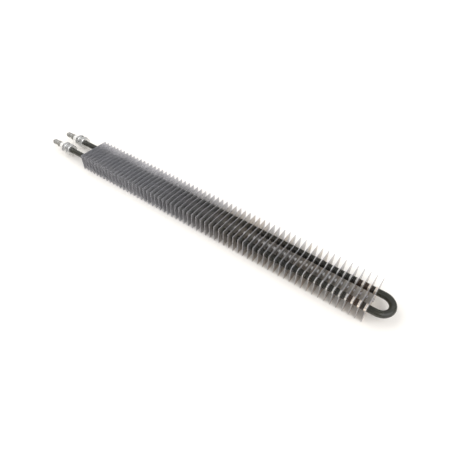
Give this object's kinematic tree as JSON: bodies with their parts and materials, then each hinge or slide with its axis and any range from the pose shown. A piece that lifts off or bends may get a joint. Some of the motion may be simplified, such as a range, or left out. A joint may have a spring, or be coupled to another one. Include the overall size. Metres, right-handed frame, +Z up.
{
  "type": "finned tubular heating element",
  "caption": "Long U-bent tubular heating element with rectangular plate fins across both legs, threaded mounting bushes with lock nuts and screw terminals on ceramic insulators.",
  "frame": {"origin": "Bottom centre of the bounding box: midway along the whole length and between the legs, on the surface the fins' lower edges stand on.", "axes": "+X runs along the legs to the U-bend, with the terminals at -X. +Y runs across the two legs. +Z is up, square to the plane of the bent tube."},
  "size_m": [0.5802, 0.05, 0.025],
  "materials": {
    "sheath_steel": "dark heat-oxidised steel tube with a soft sheen",
    "fin_steel": "thin cold-rolled steel sheet, satin, with faint heat tints",
    "bush_steel": "turned and nickel-plated steel",
    "plated_steel": "zinc-plated steel",
    "terminal_steel": "nickel-plated steel",
    "ceramic": "white fired ceramic",
    "seal_resin": "cured silicone resin",
    "pin_steel": "drawn steel wire",
    "magnesia": "packed magnesia powder",
    "resistance_wire": "wound nickel-chromium wire"
  },
  "bodies": {
    "root": {"sheath_tube": "sheath_steel", "fins": "fin_steel", "mounting_bush_front": "bush_steel", "mounting_bush_back": "bush_steel", "sealing_washer_front": "plated_steel", "sealing_washer_back": "plated_steel", "lock_nut_front": "plated_steel", "lock_nut_back": "plated_steel", "terminal_stud_front": "terminal_steel", "terminal_stud_back": "terminal_steel", "terminal_inner_nut_front": "terminal_steel", "terminal_inner_nut_back": "terminal_steel", "terminal_inner_washer_front": "terminal_steel", "terminal_inner_washer_back": "terminal_steel", "terminal_outer_washer_front": "terminal_steel", "terminal_outer_washer_back": "terminal_steel", "terminal_spring_washer_front": "terminal_steel", "terminal_spring_washer_back": "terminal_steel", "terminal_outer_nut_front": "terminal_steel", "terminal_outer_nut_back": "terminal_steel", "terminal_counter_nut_front": "terminal_steel", "terminal_counter_nut_back": "terminal_steel", "ceramic_insulator_front": "ceramic", "ceramic_insulator_back": "ceramic", "end_seal_front": "seal_resin", "end_seal_back": "seal_resin", "cold_pin_front": "pin_steel", "cold_pin_back": "pin_steel", "magnesia_fill": "magnesia", "heating_coil": "resistance_wire"}
  },
  "joints": []
}
